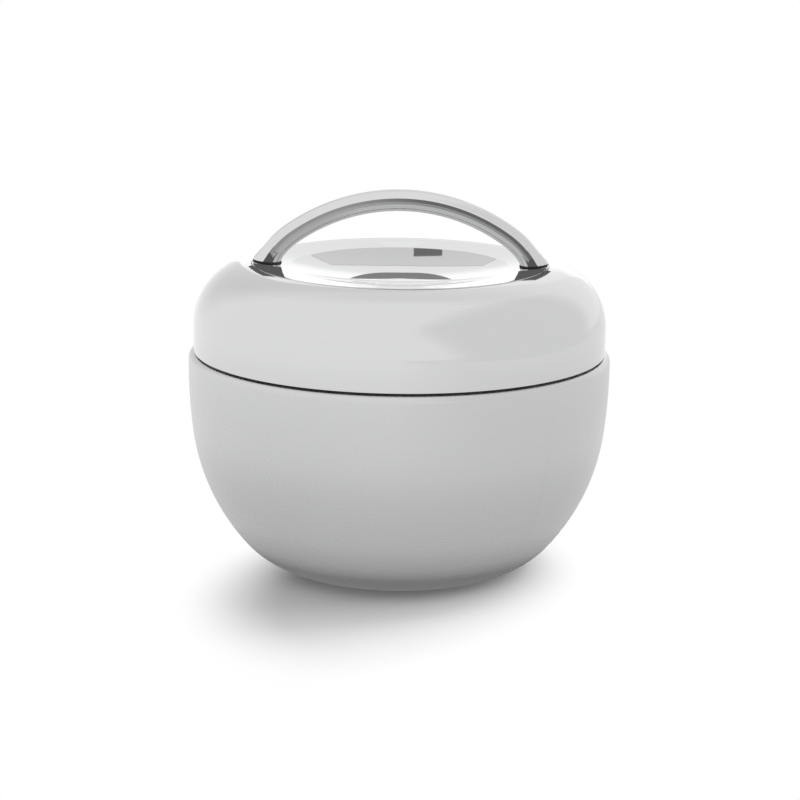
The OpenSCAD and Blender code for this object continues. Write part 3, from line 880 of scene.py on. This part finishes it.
lamps = [lamp("low_lamp", (0.9, 0.1, 0.5), size=0.8, power=6),
         lamp("high_lamp", (0.6, 0.3, 0.9), size=0.6, power=4.8),
         lamp("top_lamp", (0.25, 0.2, 1.15), size=0.8, power=2.3)]
print("world", ambient, "and lamps of", [light.data.energy for light in lamps], "watts")

# %% [markdown]
# ## Cards that paint reflections
#
# These cards glow, but only reflections see them, so they neither light the bowl nor stand in the camera's
# way: what they put in the steel are painted reflections and painted shade. Their places, outlines and
# levels were worked out by following the camera's rays off the steel and tuned against the photograph, so
# they suit this view best. A card's edge can be soft, as it is when the card stands too near to be sharp in
# the steel, and its level can change along an axis. A small card is meant for one mirror only, such as the
# dish or the tube. Where it would leave a mark elsewhere, such as on the lid when the bowl is seen from
# behind, only reflections from the right distance see it.

# %% Fade a card's edges and limit its reach
def faded_edges(material, soft):
    """A value that falls from 1 to 0 over the outer part of a card that is 1 wide and 1 high."""
    fades = []
    for axis in ("X", "Y"):
        off = add_node(material, "Math", "ABSOLUTE")
        link(material, place_along(material, axis), off.inputs[0])
        fades.append(ranged(material, off.outputs[0], 0.5, 0.5 - soft, 0, 1, smooth=True))
    return combined(material, "MULTIPLY", *fades)


def within_reach(material, nearest, farthest):
    """A value that is 1 for rays that come from between two distances, in millimetres."""
    near = add_node(material, "Math", "COMPARE")
    near.inputs[1].default_value = (nearest + farthest) / 2 * mm
    near.inputs[2].default_value = (farthest - nearest) / 2 * mm
    link(material, add_node(material, "LightPath").outputs["Ray Length"], near.inputs[0])
    return near.outputs[0]


# %% Make a card that only reflections see
# Painted reflections: each card is a glow that only reflections see.
def card_finish(piece, level, soft=0.0, change=None, reach=None):
    """A glow that may change along an axis, fade towards the edges, or be seen from some distances only."""
    material = bpy.data.materials.new(piece.name)
    material.use_nodes = True
    nodes = material.node_tree.nodes
    nodes.remove(nodes["Principled BSDF"])
    shown = add_node(material, "Emission")
    shown.inputs["Strength"].default_value = level
    if change:
        axis, first, last, first_level = change
        place = place_along(material, axis)
        strength = ranged(material, place, first, last, first_level, level, smooth=True)
        link(material, strength, shown.inputs["Strength"])
    if soft:
        shown = mixed(material, faded_edges(material, soft), add_node(material, "BsdfTransparent"), shown)
    if reach:
        shown = mixed(material, within_reach(material, *reach), add_node(material, "BsdfTransparent"), shown)
    link(material, shown.outputs[0], nodes["Material Output"].inputs["Surface"])
    piece.data.materials.append(material)
    for ray in ("camera", "diffuse", "shadow", "transmission", "volume_scatter"):
        setattr(piece, "visible_" + ray, False)


# %% Hang a flat card or cut one to an outline
def hang_card(name, azimuth, elevation, distance, width, height, level, soft=0.0, change=None):
    """A flat card behind (azimuth 0), to the right (90) or in front (180), facing the lid."""
    start_fresh()
    aim = Vector((sine(azimuth) * cosine(elevation), cosine(azimuth) * cosine(elevation), sine(elevation)))
    bpy.ops.mesh.primitive_plane_add(size=1)
    piece = bpy.context.object
    piece.name = name
    piece.scale = (width, height, 1)
    piece.location = Vector((0, 0, rim_z)) + aim * distance
    piece.rotation_euler = (-aim).to_track_quat("Z", "Y").to_euler()
    card_finish(piece, level, soft, change)


def cut_card(name, behind, corners, level, change=None, reach=None):
    """An upright card of any outline, a distance behind the axis. Its corners are (x, z) in millimetres."""
    start_fresh()
    bpy.ops.mesh.primitive_circle_add(vertices=len(corners), fill_type="NGON")
    piece = bpy.context.object
    piece.name = name
    for vertex, (x, z) in zip(piece.data.vertices, corners):
        vertex.co = (x * mm, behind, z * mm)
    card_finish(piece, level, change=change, reach=reach)


# %% [markdown]
# ### The large cards
#
# Four large glowing cards paint the reflections on the lid's shoulder, its bright bands among them: a bright
# one behind, a pale one to the left of it, one high above and one close on the right. The last three have
# soft edges, so that no hard border shows where one of them ends.

# %% Hang the large cards
hang_card("bright_card", azimuth=2, elevation=12.4, distance=1.2, width=0.64, height=0.66, level=1.05,
          change=("Y", -0.1, 0.08, 1.25))
hang_card("left_card", azimuth=-22, elevation=24, distance=1.35, width=2, height=1.8, level=0.8, soft=0.42)
hang_card("top_card", azimuth=0, elevation=55, distance=1.4, width=2, height=1.4, level=0.9, soft=0.45)
hang_card("side_card", azimuth=102, elevation=23, distance=0.5, width=1.5, height=1.27, level=0.87,
          soft=0.25)
print("large cards hung")

# %% [markdown]
# ### The cards for the dish
#
# The dish is a hollow mirror, so small cards close behind it fill much of it. In the photograph it shows a
# grey panel with a dark line along its lower edge and a dark mark on it, and low in the dish a dark band
# with a bright one below it. Each of these is a card, and so a painted reflection. The two bands are arches,
# which a formula draws.

# %% Draw the outlines for the dish
panel_edge = [(-32, 149), (-26, 142), (-15, 144.2), (-3, 145), (12, 143.6), (25, 141), (30, 148)]
panel_top = [(36, 160), (-38, 160)]
line_w = 0.6
panel_line = [(x, z - line_w) for x, z in panel_edge] + panel_edge[::-1]
panel_mark = [(1.3, 150.5), (10.5, 150.5), (10.5, 155), (1.3, 155)]


def arch(middle, half, ends, top, fullness, steps=16):
    """Points of an arch over a middle. The fuller it is, the flatter its top and the steeper its ends."""
    shares = [-1 + 2 * step / steps for step in range(steps + 1)]
    return [(middle + half * share, ends + (top - ends) * (1 - abs(share) ** fullness)) for share in shares]


dark_band = arch(-3.5, 18.5, ends=122.5, top=130.8, fullness=1.2)
dark_band += arch(-3.5, 18.5, ends=123.5, top=143.6, fullness=3)[::-1]
bright_band = [(-11, 116.4), (8, 116.4)] + arch(-1.5, 9.5, ends=117.2, top=119.4, fullness=2)[::-1]
print("outlines of", len(dark_band), "and", len(bright_band), "points for the bands")

# %% Cut the cards for the dish
from_dish = (58, 400)
from_dish_front = (113, 400)
# Painted reflections for the dish: the panel, its dark line and mark, and the dark and bright bands.
cut_card("dish_card", 100 * mm, panel_edge + panel_top, level=0.84, reach=from_dish)
cut_card("dish_line", 100.5 * mm, panel_line, level=0.5, reach=from_dish)
cut_card("dish_mark_reflection", 99 * mm, panel_mark, level=0.2, reach=from_dish)
cut_card("dish_dark", 125 * mm, dark_band, level=0.28, reach=from_dish_front)
cut_card("dish_light", 51 * mm, bright_band, level=1.08)
print("cards for the dish cut")

# %% [markdown]
# ### The cards for the handle
#
# A polished tube shows the whole room squeezed into lines along it. Two glowing strips that follow the tube
# close in front give it a painted reflection: the dark line and the grey one under it, both fainter on the
# left. Small dark cards in front of the feet paint shade into the feet's images in the plate.

# %% Follow the tube with a strip
short_of_foot = 9
strip_steps = 48
from_tube = (0, 18)


def along_handle(off, turn):
    """A place beside the tube's middle line, at a turn round the arch or its bend, in millimetres."""
    if abs(turn) <= arch_angle:
        return (arch_r + off) / mm * sine(turn), (arch_z + (arch_r + off) * cosine(turn)) / mm
    side = 1 if turn > 0 else -1
    out = side * (bend_x + (bend_r + off) * sine(abs(turn)))
    return out / mm, (bend_z + (bend_r + off) * cosine(turn)) / mm


def handle_card(name, behind, inner, outer, level, left_level):
    """A strip along the tube, between two distances from its middle line. It changes from left to right."""
    steps = range(-strip_steps, strip_steps + 1)
    turns = [(foot_angle - short_of_foot) * step / strip_steps for step in steps]
    corners = [along_handle(inner, turn) for turn in turns]
    corners += [along_handle(outer, turn) for turn in turns[::-1]]
    cut_card(name, behind, corners, level, change=("X", -25 * mm, 15 * mm, left_level), reach=from_tube)


# %% Cut the cards for the handle
from_plate = (0, 30)
foot_shade_level = 0.12
# Painted reflection: strips that give the tube its dark line and the grey line under it.
handle_card("handle_line", -10 * mm, inner=-1.2 * mm, outer=4.1 * mm, level=0.18, left_level=0.4)
handle_card("handle_shade", -9.5 * mm, inner=-5 * mm, outer=-1.2 * mm, level=0.36, left_level=0.5)
# Painted shade: dark cards that darken the feet's images in the plate.
foot_cards = {"low": (-7 * mm, [(-6, 0.1), (5.6, 0.8), (5.2, 2.2), (-7, 1.9)]),
              "high": (-12 * mm, [(-6.5, 0.4), (6.2, 0.9), (2.2, 8), (-14, 8)])}
for side_name, side in (("left", -1), ("right", 1)):
    for part, (behind, corners) in foot_cards.items():
        places = [(side * (foot_x / mm + x), foot_z / mm + z) for x, z in corners]
        cut_card(f"{side_name}_{part}_foot_card", behind, places, foot_shade_level, reach=from_plate)
print("strips and foot cards cut")

# %% [markdown]
# ## The last settings
#
# The Standard view shows colours as they are written.

# %% Set the view
bpy.context.scene.view_settings.view_transform = "Standard"
